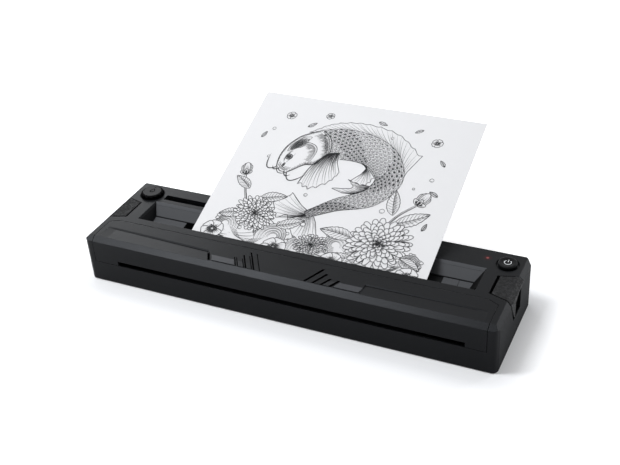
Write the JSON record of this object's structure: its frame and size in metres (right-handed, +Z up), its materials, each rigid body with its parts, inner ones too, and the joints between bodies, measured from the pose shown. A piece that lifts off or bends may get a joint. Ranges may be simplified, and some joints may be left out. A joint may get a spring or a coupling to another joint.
{
  "type": "thermal stencil copier",
  "caption": "Long, low portable thermal copier with a hinged front cover, exit slot, feed well, lock pads, dial, power button and a sheet standing in its inlet.",
  "frame": {"origin": "centre of the body's footprint, on the surface the machine stands on", "axes": "+X to the right seen from the front, +Y to the rear, +Z up"},
  "size_m": [0.36, 0.1992, 0.0971],
  "materials": {
    "housing_plastic": "fine moulded grain, satin black",
    "tray_plastic": "fine moulded grain, a little paler than the deck",
    "cover_plastic": "fine moulded grain, satin black",
    "pad_plastic": "coarse grip texture",
    "knob_plastic": "satin",
    "button_plastic": "semi-gloss black",
    "inner_plastic": "matt black",
    "base_plastic": "fine grain, matt",
    "foot_rubber": "matt",
    "platen_rubber": "ground silicone rubber",
    "steel": "bright zinc or ground",
    "screw_steel": "black oxide",
    "heatsink_aluminium": "milled",
    "head_ceramic": "smooth glazed ceramic",
    "gear_nylon": "natural nylon",
    "motor_steel": "zinc plated",
    "board_green": "solder mask",
    "chip_black": "moulded epoxy",
    "cell_wrap": "shrink wrap",
    "bush_nylon": "acetal",
    "lamp_red": "clear red lamp",
    "paper_white": "smooth uncoated paper"
  },
  "bodies": {
    "housing": {"main_casing": "housing_plastic", "feed_tray": "tray_plastic", "rear_channel": "inner_plastic", "right_lock_housing": "inner_plastic", "left_lock_housing": "inner_plastic", "bottom_plate": "base_plastic", "rubber_feet": "foot_rubber", "base_screws": "screw_steel", "hinge_pins": "steel", "print_chassis": "motor_steel", "chassis_screws": "screw_steel", "platen_bushes": "bush_nylon", "idler_axle": "steel", "stepper_motor": "motor_steel", "inlet_guide": "inner_plastic", "exit_guide": "inner_plastic", "dial_encoder": "motor_steel", "tact_switch": "chip_black", "switch_board": "board_green", "status_led": "lamp_red", "battery_holder": "inner_plastic", "battery_cells": "cell_wrap", "control_board": "board_green", "board_parts": "chip_black", "board_screws": "screw_steel", "usb_socket": "steel"},
    "front_cover": {"front_cover": "cover_plastic", "cover_frame": "inner_plastic", "catch_pins": "steel", "head_pivot_pins": "steel", "head_springs": "steel"},
    "print_head": {"head_heatsink": "heatsink_aluminium", "thermal_head": "head_ceramic", "head_connector": "bush_nylon"},
    "platen": {"platen_shaft": "steel", "platen_rubber": "platen_rubber", "platen_gear": "gear_nylon"},
    "idler": {"idler_gear": "gear_nylon"},
    "motor_rotor": {"motor_pinion": "gear_nylon", "motor_shaft": "steel"},
    "right_lock": {"right_lock_pad": "pad_plastic", "right_lock_hook": "steel"},
    "left_lock": {"left_lock_pad": "pad_plastic", "left_lock_hook": "steel"},
    "density_dial": {"density_dial": "knob_plastic"},
    "power_button": {"power_button": "button_plastic"},
    "stencil_sheet": {"stencil_sheet": "paper_white"}
  },
  "joints": [
    {"name": "cover_hinge", "type": "hinge", "parent": "housing", "child": "front_cover", "pos_m": [0, -0.0105, 0.0378], "axis": [-1, 0, 0], "range_deg": [0, 75]},
    {"name": "head_float", "type": "hinge", "parent": "front_cover", "child": "print_head", "pos_m": [0, -0.02316, 0.03763], "axis": [-1, 0, 0], "range_deg": [0, 3], "stiffness_Nm_per_rad": 2, "springref_deg": -4.58, "deforming": ["head_springs"]},
    {"name": "platen_spin", "type": "hinge", "parent": "housing", "child": "platen", "pos_m": [0, -0.02323, 0.02342], "axis": [1, 0, 0], "continuous": true},
    {"name": "idler_spin", "type": "hinge", "parent": "housing", "child": "idler", "pos_m": [-0.111, -0.00501, 0.01819], "axis": [1, 0, 0], "continuous": true},
    {"name": "motor_spin", "type": "hinge", "parent": "housing", "child": "motor_rotor", "pos_m": [-0.111, 0.00744, 0.016], "axis": [1, 0, 0], "continuous": true},
    {"name": "right_lock_slide", "type": "slide", "parent": "housing", "child": "right_lock", "axis": [-1, 0, 0], "range_m": [0, 0.0019]},
    {"name": "left_lock_slide", "type": "slide", "parent": "housing", "child": "left_lock", "axis": [1, 0, 0], "range_m": [0, 0.001]},
    {"name": "dial_turn", "type": "hinge", "parent": "housing", "child": "density_dial", "pos_m": [-0.1602, 0.032, 0.043], "axis": [0, 0, 1], "range_deg": [-135, 135]},
    {"name": "button_press", "type": "slide", "parent": "housing", "child": "power_button", "axis": [0, 0, -1], "range_m": [0, 0.001], "stiffness_N_per_m": 400, "springref_m": -0.0005},
    {"name": "sheet_feed", "type": "slide", "parent": "housing", "child": "stencil_sheet", "axis": [0, 0.9379, 0.3469], "range_m": [0, 0.15]}
  ],
  "couplings": [
    {"joint": "idler_spin", "follows": "platen_spin", "ratio": -1.25},
    {"joint": "motor_spin", "follows": "platen_spin", "ratio": 2.5}
  ]
}
